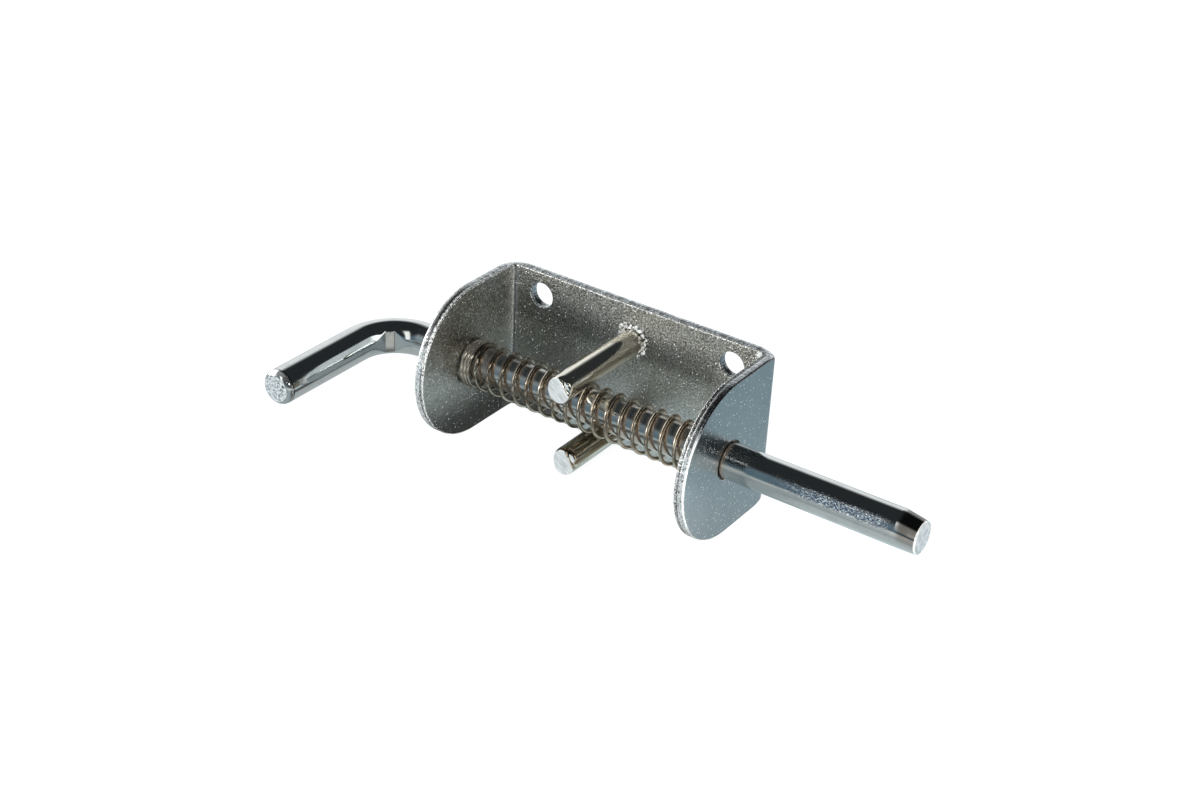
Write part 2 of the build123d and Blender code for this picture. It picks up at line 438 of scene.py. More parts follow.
# sheared and plated rim: fine streaks run through the thickness, and next to the burr the steel is torn;
# painted highlights lie along its edges, and painted shade in dark lines
sheared_zinc, tree = finish_for("sheared_zinc", (0.60, 0.62, 0.63, 1))
run = tree.attribute("edge_run")
deep = tree.attribute("edge_depth")
torn = deep.fall(0.26, 0.40)
rim_place = tree.place()
rim_x = tree.coordinate("X", rim_place)
rim_y = tree.coordinate("Y", rim_place)
rim_z = tree.coordinate("Z", rim_place)
from_ear = half_inner - rim_x.maths("ABSOLUTE", rim_x)
from_plate = -strip_thickness - rim_y
low_rim = rim_z.fall(-6 * mm, 4 * mm)
at_nose = rim_y.fall(-66 * mm, -57 * mm).most(low_rim * 0.6)
outer_band = deep.rise(0.83, 0.88) * deep.fall(0.955, 0.985)
inner_band = deep.fall(0.03, 0.09)
groove = deep.rise(0.20, 0.27) * deep.fall(0.34, 0.42)
# painted shade in the corner where the rim meets the fold
fold_corner_shade = from_ear.fall(0.7 * mm, 1.3 * mm) * from_plate.fall(0.7 * mm, 1.5 * mm) * deep.fall(0.10, 0.22)
slant = tree.noise(2.5 * mm, detail=2)
streak_place = tree.add("ShaderNodeCombineXYZ", {}, {"X": run + slant * (0.5 * mm), "Y": deep * (0.8 * mm)})
streaks = tree.noise(0.75 * mm, detail=3, roughness=0.65, source=streak_place)
crumbs = tree.noise(0.75 * mm, detail=2, roughness=0.65)
dents = tree.noise(1.3 * mm, detail=1).rise(0.60, 0.68)
hatch = tree.tint(streaks.rise(0.40, 0.60), (0.22, 0.23, 0.23, 1), (0.74, 0.77, 0.79, 1))
colour = tree.tint(torn * crumbs.fall(0.42, 0.56), hatch, (0.20, 0.19, 0.17, 1))
# painted highlight: the rolled edge at the nose and the burr line, tinted near white and made less metallic
rim_highlight = outer_band * at_nose + inner_band * (0.10 + at_nose * 0.35 + crumbs.rise(0.46, 0.58) * 0.75)
rim_highlight = rim_highlight + at_nose * (crumbs.rise(0.38, 0.50) * 0.6) - groove * at_nose * 0.5
rim_highlight = rim_highlight.most(0.0).least(1.0)
on_plate = rim_y.rise(-6.5 * mm, -5.5 * mm)
tear_line = deep.rise(0.46, 0.50) * deep.fall(0.55, 0.60) * on_plate * streaks.rise(0.40, 0.60)
upper_curve = rim_z.rise(6 * mm, 18 * mm) * rim_y.fall(-44 * mm, -28 * mm) * rim_y.rise(-69 * mm, -64 * mm)
upper_curve = upper_curve * deep.rise(0.22, 0.32) * deep.fall(0.74, 0.84) * streaks.rise(0.36, 0.56)
# painted shade and dark marks: the rolled edge is dark away from the nose, with the fold corner's shade, the
# tear line and dark streaks on the upper curve
dark_marks_and_shade = (outer_band * (1.0 - at_nose) * (0.55 + crumbs * 0.6)).most(fold_corner_shade).most(tear_line * 0.8)
dark_marks_and_shade = dark_marks_and_shade.most(upper_curve * 0.85).least(1.0)
colour = tree.tint(rim_highlight, colour, (0.98, 0.98, 0.97, 1))
roughened = streaks * (1.0 - torn * 0.5) * 0.8 + crumbs * torn * 1.4 - dents * torn * 0.8
show(tree, {
    "Base Color": tree.tint(dark_marks_and_shade * 0.9, colour, (0.03, 0.03, 0.03, 1)),
    "Metallic": 1.0 - rim_highlight * 0.6,
    "Roughness": 0.15 + 0.10 * crumbs,
    "Normal": tree.relief(roughened, 0.3 * mm),
})
for finish in (satin_zinc, sheared_zinc):
    bracket.data.materials.append(finish)
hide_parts("bracket")
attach(bracket, "bracket_assembly")


# bolt and handle
# The bolt is one 16 mm round bar with a turned taper on its nose. Its other end is bent cold for the
# handle, which left three pressed flats inside the bend, then cropped and chamfered, and the whole is
# bright plated.
bend_radius = 22 * mm
nose_x = bolt_high.x
handle_x = bolt_low.x + bolt_radius
bend_x = handle_x + bend_radius
bend_y = bolt_y - bend_radius
to_bend = nose_x - bend_x
round_bend = bend_radius * pi / 2
bar_length = to_bend + round_bend + bend_y - bolt_low.y
bend_inner = bend_radius - bolt_radius
press_depth = 2.1 * mm
press_marks = [(3, 0), (41, press_depth), (55.5, press_depth), (83, 0)]
taper_length, taper_depth = 10 * mm, 0.85 * mm
nose_forward, nose_drop = 0.4275 * mm, 0.615 * mm
around = 96


def pressed_reach(turn):
    """How far the inside of the bend is from its centre, at an angle round it in degrees."""
    for (from_angle, from_depth), (to_angle, to_depth) in zip(press_marks, press_marks[1:]):
        if from_angle <= turn <= to_angle:
            first = Matrix.Rotation(radians(from_angle), 2) @ Vector((bend_inner + from_depth, 0))
            last = Matrix.Rotation(radians(to_angle), 2) @ Vector((bend_inner + to_depth, 0))
            gap = last - first
            look = Vector((cos(radians(turn)), sin(radians(turn))))
            return (first.x * gap.y - first.y * gap.x) / (look.x * gap.y - look.y * gap.x)
    return bend_inner


def along_bar(along, radius, angle):
    """Place of a point of the bar: distance from the nose, distance from the bar's middle, angle round it."""
    out, up = radius * cos(angle), radius * sin(angle)
    if along <= to_bend:
        aside = max(1 - along / taper_length, 0)
        return Vector((nose_x - along, bolt_y + out - nose_forward * aside, up - nose_drop * aside))
    turn = min((along - to_bend) / bend_radius, pi / 2)
    reach = max(bend_radius + out, pressed_reach(degrees(turn)))
    past = max(along - to_bend - round_bend, 0)
    return Vector((bend_x - reach * sin(turn), bend_y + reach * cos(turn) - past, up))


def turned(name, profile, place):
    """Skin of a round bar: profile is (along, radius) pairs, closed by a pole at each end."""
    work = bmesh.new()
    straight = work.verts.layers.float_vector.new("straight")
    rings = []
    for along, radius in profile:
        ring = []
        for i in range(around if radius > 0 else 1):
            angle = 2 * pi * i / around
            vert = work.verts.new(place(along, radius, angle))
            vert[straight] = Vector((along, radius * cos(angle), radius * sin(angle)))
            ring.append(vert)
        rings.append(ring)
    for a, b in zip(rings, rings[1:]):
        for i in range(around):
            k = (i + 1) % around
            corners = [a[0]] if len(a) == 1 else [a[i], a[k]]
            corners += [b[0]] if len(b) == 1 else [b[k], b[i]]
            work.faces.new(corners).smooth = True
    bmesh.ops.recalc_face_normals(work, faces=work.faces)
    return piece_from(name, work)


def end_face(along, direction, rim_radius, edge_break):
    """Profile of a flat end from its middle to its rim, with the rim's edge rounded."""
    face_radius = rim_radius - edge_break
    face = [(along, face_radius * r) for r in (0, 0.2, 0.4, 0.6, 0.78, 0.9, 0.97, 1)]
    for share in (0.15, 0.35, 0.55, 0.75, 0.9, 1):
        turn = share * pi / 2
        face.append((along + direction * edge_break * (1 - cos(turn)), face_radius + edge_break * sin(turn)))
    return face


nose_edge_break = 0.8 * mm
taper_end = taper_length * 1.04
straight_steps, handle_steps = 48, 10
handle_from = to_bend + round_bend
handle_to = bar_length - 3.2 * mm
# cropped end of the handle, as (distance from the end, radius) in mm
handle_end = [(0, 0), (0, 2.5), (0, 4.5), (0, 5.8), (0, 6.25), (0.06, 6.4), (0.35, 6.8),
              (0.8, 7.25), (1.3, 7.6), (1.9, 7.85), (2.5, 7.97), (3.0, 8.0)]
profile = end_face(0, 1, bolt_radius - taper_depth, nose_edge_break)
profile += [(taper_length * s, bolt_radius - taper_depth * (1 - s)) for s in (0.3, 0.5, 0.7, 0.85, 0.97)]
profile += [(taper_length, bolt_radius - 0.01 * mm), (taper_end, bolt_radius)]
profile += [(taper_end + (to_bend - taper_end) * (i + 1) / straight_steps, bolt_radius)
            for i in range(straight_steps)]
turns = sorted(set([float(t) for t in range(1, 91)] + [angle for angle, _ in press_marks]))
profile += [(to_bend + radians(t) * bend_radius, bolt_radius) for t in turns]
profile += [(handle_from + (handle_to - handle_from) * (i + 1) / handle_steps, bolt_radius)
            for i in range(handle_steps)]
profile += [(bar_length - back * mm, radius * mm) for back, radius in reversed(handle_end)]
bolt = turned("bright_bolt", profile, along_bar)

# bright zinc on drawn bar: mirror-like, with fine drawing lines along the bar and scattered handling marks;
# the strike has scuffed one side of the nose end; a painted brown reflection lies where the coils or an ear
# lie close, painted shade on the taper's top and behind the collar, and painted highlights on the nose rim
# and the collar
bright_zinc, tree = finish_for("bright_zinc", (0.60, 0.64, 0.66, 1))
strike_angle = radians(27)
bar_place = tree.attribute("straight", output="Vector")
from_nose = tree.coordinate("X", bar_place)
from_crop = bar_length - from_nose
bar_height = tree.coordinate("Z", bar_place)
strike_side = tree.measure("DOT_PRODUCT", bar_place, (0, -cos(strike_angle), sin(strike_angle)))
struck = from_nose.rise(9 * mm, 18 * mm) * from_nose.fall(44 * mm, 72 * mm)
struck = struck * strike_side.rise(7.35 * mm, 7.9 * mm)
lines = tree.noise(0.5 * mm, detail=2, stretch=(40, 1, 1), source=bar_place)
dull = tree.noise(9 * mm, detail=3, roughness=0.6, source=bar_place).rise(0.45, 0.7)
specks = tree.noise(0.9 * mm, detail=2, roughness=0.6, source=bar_place).rise(0.62, 0.70)
scuffs = tree.noise(0.62 * mm, detail=3, roughness=0.7, stretch=(1.5, 1, 1), source=bar_place)
ripple = tree.noise(6 * mm, detail=1, stretch=(3, 1, 1), source=bar_place)
colour = tree.tint(dull, (0.62, 0.63, 0.62, 1), (0.54, 0.56, 0.56, 1))
colour = tree.tint(specks * 0.12, colour, (0.85, 0.88, 0.90, 1))
# painted reflection: brown on the bar where the coils or an ear lie close, found by ambient occlusion
open_air = tree.add("ShaderNodeAmbientOcclusion", {"samples": 8}, {"Distance": 3 * mm}, output="AO")
coil_reflection = open_air.fall(0.64, 0.96) * open_air.rise(0.46, 0.66)
colour = tree.tint(coil_reflection * 0.8, colour, (0.40, 0.25, 0.12, 1))
colour = tree.tint(struck * scuffs.fall(0.42, 0.54) * 0.85, colour, (0.09, 0.155, 0.28, 1))
colour = tree.tint(struck * scuffs.rise(0.57, 0.63), colour, (0.78, 0.89, 0.98, 1))
# painted highlight: the rounded rim of the nose is tinted near white and made less metallic
nose_rim_highlight = from_nose.fall(0.55 * mm, 0.95 * mm)
# painted shade: the taper's top is dark, and darkest along its ridge
taper_top_shade = from_nose.fall(6.5 * mm, 10.4 * mm) * bar_height.rise(-3.5 * mm, 2.5 * mm)
colour = tree.tint(taper_top_shade * 0.7, colour, (0.17, 0.14, 0.11, 1))
taper_ridge_shade = from_nose.fall(8.0 * mm, 9.8 * mm) * bar_height.rise(1.0 * mm, 5.0 * mm)
colour = tree.tint(taper_ridge_shade * 0.75, colour, (0.06, 0.055, 0.05, 1))
# painted highlight: the chamfer collar at the handle's end is pale, brighter on one side
collar_lit_side = tree.measure("DOT_PRODUCT", bar_place, (0, 0.77, 0.64))
collar_highlight = from_crop.fall(2.2 * mm, 2.7 * mm) * from_crop.rise(0.1 * mm, 0.35 * mm)
collar_highlight = collar_highlight * (0.15 + 0.45 * collar_lit_side.rise(-1 * mm, 5 * mm))
# painted shade: a dark line between the collar and the bar
shade_behind_collar = from_crop.fall(3.2 * mm, 3.5 * mm) * from_crop.rise(2.6 * mm, 2.9 * mm)
colour = tree.tint(collar_highlight, colour, (0.74, 0.77, 0.79, 1))
colour = tree.tint(shade_behind_collar * 0.8, colour, (0.05, 0.045, 0.04, 1))
bare = struck * scuffs.rise(0.57, 0.64)
show(tree, {
    "Base Color": tree.tint(nose_rim_highlight, colour, (0.98, 0.96, 0.93, 1)),
    "Metallic": 1.0 - nose_rim_highlight * 0.5 - bare * 0.40 - collar_highlight * 0.35 - coil_reflection * 0.16,
    "Roughness": 0.06 + dull * 0.06 + lines * 0.03 + struck * 0.12,
    "Normal": tree.relief(ripple * 0.8 + lines * 0.05 + struck * scuffs * 1.8, 0.06 * mm),
})

# turned face of the nose: flat and pale, with the strokes of the tool
faced_zinc, tree = finish_for("faced_zinc", (0.62, 0.66, 0.68, 1))
strokes = tree.noise(1.0 * mm, detail=2, stretch=(1, 1, 5))
blotch = tree.noise(2.5 * mm, detail=2)
show(tree, {
    "Base Color": tree.tint(blotch.rise(0.35, 0.65), (0.66, 0.70, 0.73, 1), spark),
    "Metallic": 0.35,
    "Roughness": 0.30 + 0.12 * strokes,
    "Normal": tree.relief(strokes + blotch, 0.15 * mm),
})

# cropped end of a bar: the tool tore the steel, so the face is rough and glitters; a small pit on it is a
# painted dark spot with a painted highlight beside it
cropped_zinc, tree = finish_for("cropped_zinc", (0.62, 0.65, 0.67, 1))
torn = tree.noise(0.8 * mm, detail=3, roughness=0.7)
pits = tree.noise(1.1 * mm, detail=1).rise(0.56, 0.66)
end_place = tree.place()
pit_away = tree.measure("DISTANCE", end_place, (handle_x + 4.1 * mm, bolt_low.y, 2.2 * mm))
pit_highlight_away = tree.measure("DISTANCE", end_place, (handle_x + 3.1 * mm, bolt_low.y, 3.4 * mm))
# painted shade of a small pit, and a painted highlight beside it
pit_shade = pit_away.fall(0.4 * mm, 1.0 * mm)
pit_highlight = pit_highlight_away.fall(0.5 * mm, 0.9 * mm)
colour = tree.tint(torn.rise(0.36, 0.56), (0.30, 0.33, 0.35, 1), (0.90, 0.94, 0.97, 1))
colour = tree.tint(pits * 0.5, colour, (0.28, 0.29, 0.30, 1))
colour = tree.tint(pit_highlight, colour, (0.95, 0.97, 0.98, 1))
colour = tree.tint(pit_shade * 0.9, colour, (0.05, 0.05, 0.05, 1))
show(tree, {
    "Base Color": colour,
    "Metallic": 0.62,
    "Roughness": 0.22 + 0.14 * torn,
    "Normal": tree.relief(torn - pits * 0.6, 0.8 * mm),
})

end_slope, end_depth = 0.93, 1 * mm
for finish in (bright_zinc, faced_zinc, cropped_zinc):
    bolt.data.materials.append(finish)
for face in bolt.data.polygons:
    if face.normal.x > end_slope and face.center.x > nose_x - end_depth:
        face.material_index = 1
    elif face.normal.y < -end_slope and face.center.y < bolt_low.y + end_depth:
        face.material_index = 2
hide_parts("bolt")
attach(bolt, "bolt_assembly")


# spring
# The spring is wound from 1.7 mm drawn wire. Three turns lie closed against the left ear and two against the
# washer, with open turns between. It hangs on the bolt, so its coils sit a little low.
spring_low, spring_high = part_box("spring")
wire_radius = 0.85 * mm
coil_radius = (spring_high.z - spring_low.z) / 2 - wire_radius
coil_z = (spring_high.z + spring_low.z) / 2
closed_turns_at_ear, turns_between, closed_turns_at_washer = 3.0, 16.0, 2.0
closed_pitch = 1.75 * mm
end_gap = 0.05 * mm
spring_start = -half_inner + end_gap + wire_radius
washer_low, washer_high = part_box("washer")
spring_end = washer_low.x - end_gap - wire_radius
first_turn = radians(18)
points_per_turn = 48


class WindingTree(Tree):
    """A geometry tree with named inputs."""

    def __init__(self, name, inputs):
        tree = bpy.data.node_groups.new(name, "GeometryNodeTree")
        tree.interface.new_socket("Geometry", in_out="INPUT", socket_type="NodeSocketGeometry")
        for label, (kind, default) in inputs.items():
            tree.interface.new_socket(label, in_out="INPUT", socket_type=kind).default_value = default
        tree.interface.new_socket("Geometry", in_out="OUTPUT", socket_type="NodeSocketGeometry")
        super().__init__(tree)
        self.group = tree.nodes.new("NodeGroupInput")

    def given(self, label):
        return Number(self, self.group.outputs[label])


winding = WindingTree("wound_spring", {
    "Wire radius": ("NodeSocketFloat", wire_radius),
    "Coil radius": ("NodeSocketFloat", coil_radius),
    "Closed pitch": ("NodeSocketFloat", closed_pitch),
    "Length": ("NodeSocketFloat", spring_end - spring_start),
    "Closed turns at ear": ("NodeSocketFloat", closed_turns_at_ear),
    "Open turns": ("NodeSocketFloat", turns_between),
    "Closed turns at washer": ("NodeSocketFloat", closed_turns_at_washer),
    "First turn": ("NodeSocketFloat", first_turn),
    "Points per turn": ("NodeSocketInt", points_per_turn),
})
pitch, first_closed = winding.given("Closed pitch"), winding.given("Closed turns at ear")
open_turns, last_closed = winding.given("Open turns"), winding.given("Closed turns at washer")
all_turns = first_closed + open_turns + last_closed
turn = winding.add("GeometryNodeInputIndex") / winding.given("Points per turn")
open_pitch = (winding.given("Length") - pitch * (first_closed + last_closed)) / open_turns
closed_so_far = turn.least(first_closed) + (turn - first_closed - open_turns).most(0.0)
open_so_far = (turn - first_closed).most(0.0).least(open_turns)
angle = winding.given("First turn") + turn * (2 * pi)
place = winding.add("ShaderNodeCombineXYZ", {}, {
    "X": closed_so_far * pitch + open_so_far * open_pitch,
    "Y": winding.given("Coil radius") * angle.maths("COSINE", angle),
    "Z": winding.given("Coil radius") * angle.maths("SINE", angle),
})
line = winding.add("GeometryNodeMeshLine", {"mode": "OFFSET"}, {
    "Count": all_turns * winding.given("Points per turn") + 1.0,
})
coil = winding.add("GeometryNodeSetPosition", {}, {"Geometry": line, "Position": place})
path = winding.add("GeometryNodeMeshToCurve", {}, {"Mesh": coil})
section = winding.add("GeometryNodeCurvePrimitiveCircle", {}, {
    "Resolution": 14, "Radius": winding.given("Wire radius"),
})
swept = winding.add("GeometryNodeCurveToMesh", {}, {
    "Curve": path, "Profile Curve": section, "Fill Caps": True,
})

# drawn spring wire: warm grey steel under thin plating; the closed turns at the ear are paler, a painted
# highlight
spring_wire, tree = finish_for("spring_wire", (0.46, 0.42, 0.36, 1))
patches = tree.noise(5 * mm, detail=3)
scale = tree.noise(0.5 * mm, detail=3, roughness=0.6)
colour = tree.tint(patches.rise(0.38, 0.62), (0.34, 0.285, 0.22, 1), (0.52, 0.47, 0.40, 1))
wire_x = tree.coordinate("X", tree.place())
# painted highlight on the closed turns at the ear
closed_turns_highlight = wire_x.fall(-half_inner + 4 * mm, -half_inner + 7 * mm)
show(tree, {
    "Base Color": tree.tint(closed_turns_highlight * 0.6, colour, (0.78, 0.73, 0.64, 1)),
    "Metallic": 1.0 - closed_turns_highlight * 0.08,
    "Roughness": 0.05 + 0.04 * scale + patches * 0.02,
    "Normal": tree.relief(scale, 0.005 * mm),
})
dressed = winding.add("GeometryNodeSetMaterial", {}, {"Geometry": swept, "Material": spring_wire})
real = winding.add("GeometryNodeRealizeInstances", {}, {"Geometry": dressed})
winding.add("NodeGroupOutput", {}, {"Geometry": real})


def grow(name, tree, values):
    """Plain mesh of a geometry tree, with its named inputs set to these values."""
    seed = in_scene(name + "_seed", bpy.data.meshes.new(name + "_seed"))
    modifier = seed.modifiers.new("made", "NODES")
    modifier.node_group = tree
    for socket in tree.interface.items_tree:
        if socket.in_out == "INPUT" and socket.name in values:
            modifier[socket.identifier] = values[socket.name]
    view = bpy.context.evaluated_depsgraph_get()
    mesh = bpy.data.meshes.new_from_object(seed.evaluated_get(view))
    seed.modifiers.remove(modifier)
    bpy.data.objects.remove(seed)
    mesh.name = name
    return in_scene(name, mesh)


spring = grow("wound_spring", winding.tree, {
    "Closed turns at ear": closed_turns_at_ear,
    "Open turns": turns_between,
    "Closed turns at washer": closed_turns_at_washer,
    "Points per turn": points_per_turn,
})
spring.data.transform(Matrix.Translation((spring_start, bolt_y, coil_z)))
spring.data.shade_smooth()
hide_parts("spring")
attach(spring, "bracket_assembly")
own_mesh(spring)


# washer and cross pin
# The washer is a punched ring, loose on the bolt, and takes the thrust of the spring. The cross pin is cut
# from bright rod and pressed through the bolt behind it.
turned_zinc, tree = finish_for("turned_zinc", (0.55, 0.57, 0.58, 1))
patina = tree.noise(3 * mm, detail=3)
rub = tree.noise(0.4 * mm, detail=2, roughness=0.6)
show(tree, {
    "Base Color": tree.tint(patina, (0.48, 0.50, 0.50, 1), (0.62, 0.64, 0.65, 1)),
    "Roughness": 0.22 + 0.14 * rub,
    "Normal": tree.relief(rub, 0.02 * mm),
})
washer_radius = washer_high.z
washer_bore = bolt_radius + 0.3 * mm
washer_break, bore_break = 0.3 * mm, 0.1 * mm
washer_section = [
    (washer_low.x, washer_bore + bore_break),
    (washer_low.x, washer_radius - washer_break),
    (washer_low.x + washer_break * 0.3, washer_radius - washer_break * 0.3),
    (washer_low.x + washer_break, washer_radius),
    (washer_high.x - washer_break, washer_radius),
    (washer_high.x - washer_break * 0.3, washer_radius - washer_break * 0.3),
    (washer_high.x, washer_radius - washer_break),
    (washer_high.x, washer_bore + bore_break),
    (washer_high.x - bore_break, washer_bore),
    (washer_low.x + bore_break, washer_bore),
]
ring_work = bmesh.new()
rings = []
for i in range(around):
    angle = 2 * pi * i / around
    spokes = [(x, bolt_y + radius * cos(angle), radius * sin(angle)) for x, radius in washer_section]
    rings.append([ring_work.verts.new(spoke) for spoke in spokes])
for a, b in zip(rings, rings[1:] + rings[:1]):
    for j in range(len(a)):
        k = (j + 1) % len(a)
        ring_work.faces.new((a[j], a[k], b[k], b[j])).smooth = abs(a[j].co.x - a[k].co.x) > 1e-6
bmesh.ops.recalc_face_normals(ring_work, faces=ring_work.faces)
washer = piece_from("thrust_ring", ring_work)
washer.data.materials.append(turned_zinc)
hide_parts("washer")
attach(washer, "thrust_washer")

pin_low, pin_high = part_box("cross_pin")
cross_pin_radius = (pin_high.x - pin_low.x) / 2
cross_pin_x = (pin_high.x + pin_low.x) / 2
cross_pin_length = pin_high.z - pin_low.z
cross_pin_break = 0.5 * mm


def on_cross_pin(along, radius, angle):
    """Place of a point of the cross pin, counted down from its top."""
    return Vector((cross_pin_x + radius * cos(angle), bolt_y + radius * sin(angle), pin_high.z - along))


profile = end_face(0, 1, cross_pin_radius, cross_pin_break)
profile += list(reversed(end_face(cross_pin_length, -1, cross_pin_radius, cross_pin_break)))
cross_pin = turned("bolt_cross_pin", profile, on_cross_pin)
cross_pin.data.materials.append(turned_zinc)
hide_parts("cross_pin")
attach(cross_pin, "bolt_assembly")


# pins and their welds
# Each pin is a length of 12 mm drawn bar, cropped by a shear that rolled one side of its end over, and
# stood on the plate. A bead of weld runs round its foot in lumps, and is plated with the rest.
drawn_zinc, tree = finish_for("drawn_zinc", (0.62, 0.61, 0.58, 1))
lines = tree.noise(0.45 * mm, detail=3, roughness=0.6, stretch=(1, 60, 1))
wide_lines = tree.noise(1.3 * mm, detail=2, stretch=(1, 25, 1))
nicks = tree.noise(1.6 * mm, detail=2, stretch=(1, 1.6, 1)).rise(0.68, 0.72)
colour = tree.tint(wide_lines, (0.68, 0.64, 0.55, 1), (0.84, 0.81, 0.72, 1))
pin_height = tree.coordinate("Z", tree.place())
# painted reflection: dark brown streaks on the upper half of the lower pin
lower_pin_reflection = pin_height.rise(-23 * mm, -18 * mm) * pin_height.fall(-10 * mm, 0.0) * wide_lines.fall(0.50, 0.68)
colour = tree.tint(lower_pin_reflection * 0.85, colour, (0.19, 0.135, 0.07, 1))
show(tree, {
    "Base Color": tree.tint(nicks * 0.6, colour, (0.90, 0.90, 0.88, 1)),
    "Roughness": 0.09 + lines * 0.08,
    "Normal": tree.relief(lines * 0.35 + wide_lines * 0.6 + nicks, 0.05 * mm),
})

# sheared end of a pin: bright, with the slanting marks of the blade
sheared_end, tree = finish_for("sheared_end", (0.70, 0.72, 0.73, 1))
across = tree.add("ShaderNodeVectorRotate", {"rotation_type": "Y_AXIS"}, {
    "Vector": tree.place(), "Angle": radians(-38),
})
marks = tree.noise(0.9 * mm, detail=3, roughness=0.6, stretch=(6, 6, 1), source=across)
grit = tree.noise(0.9 * mm, detail=2)
show(tree, {
    "Base Color": tree.tint(marks.rise(0.35, 0.65), (0.66, 0.68, 0.69, 1), (0.90, 0.92, 0.93, 1)),
    "Metallic": 0.6,
    "Roughness": 0.32 + 0.12 * grit,
    "Normal": tree.relief(marks + grit * 0.5, 0.5 * mm),
})

# weld metal: pale and lumpy, and burnt dark in places
weld_metal, tree = finish_for("weld_metal", (0.70, 0.70, 0.69, 1))
crumbs = tree.noise(0.9 * mm, detail=3, roughness=0.65)
burnt = tree.noise(1.5 * mm, detail=2).rise(0.50, 0.60)
show(tree, {
    "Base Color": tree.tint(burnt * 0.75, (0.94, 0.95, 0.94, 1), grime),
    "Metallic": 0.45 + burnt * 0.5,
    "Roughness": 0.14 + 0.20 * crumbs,
    "Normal": tree.relief(crumbs, 1.1 * mm),
})

pin_edge, foot_edge = 0.22 * mm, 0.2 * mm
# how far the shear's mark goes along the pin, how far it drew the end out and in, and its counter-edge
crop_reach, crop_lean, end_draw = 1.5 * mm, 0.35 * mm, 0.02
back_side, back_press = radians(178), 0.17
plain_from, plain_steps = 5 * mm, 10
lumps_round_foot = 26
lump_growth = 1.18
melt_grain = 0.14 * mm
spatter = Random(11)
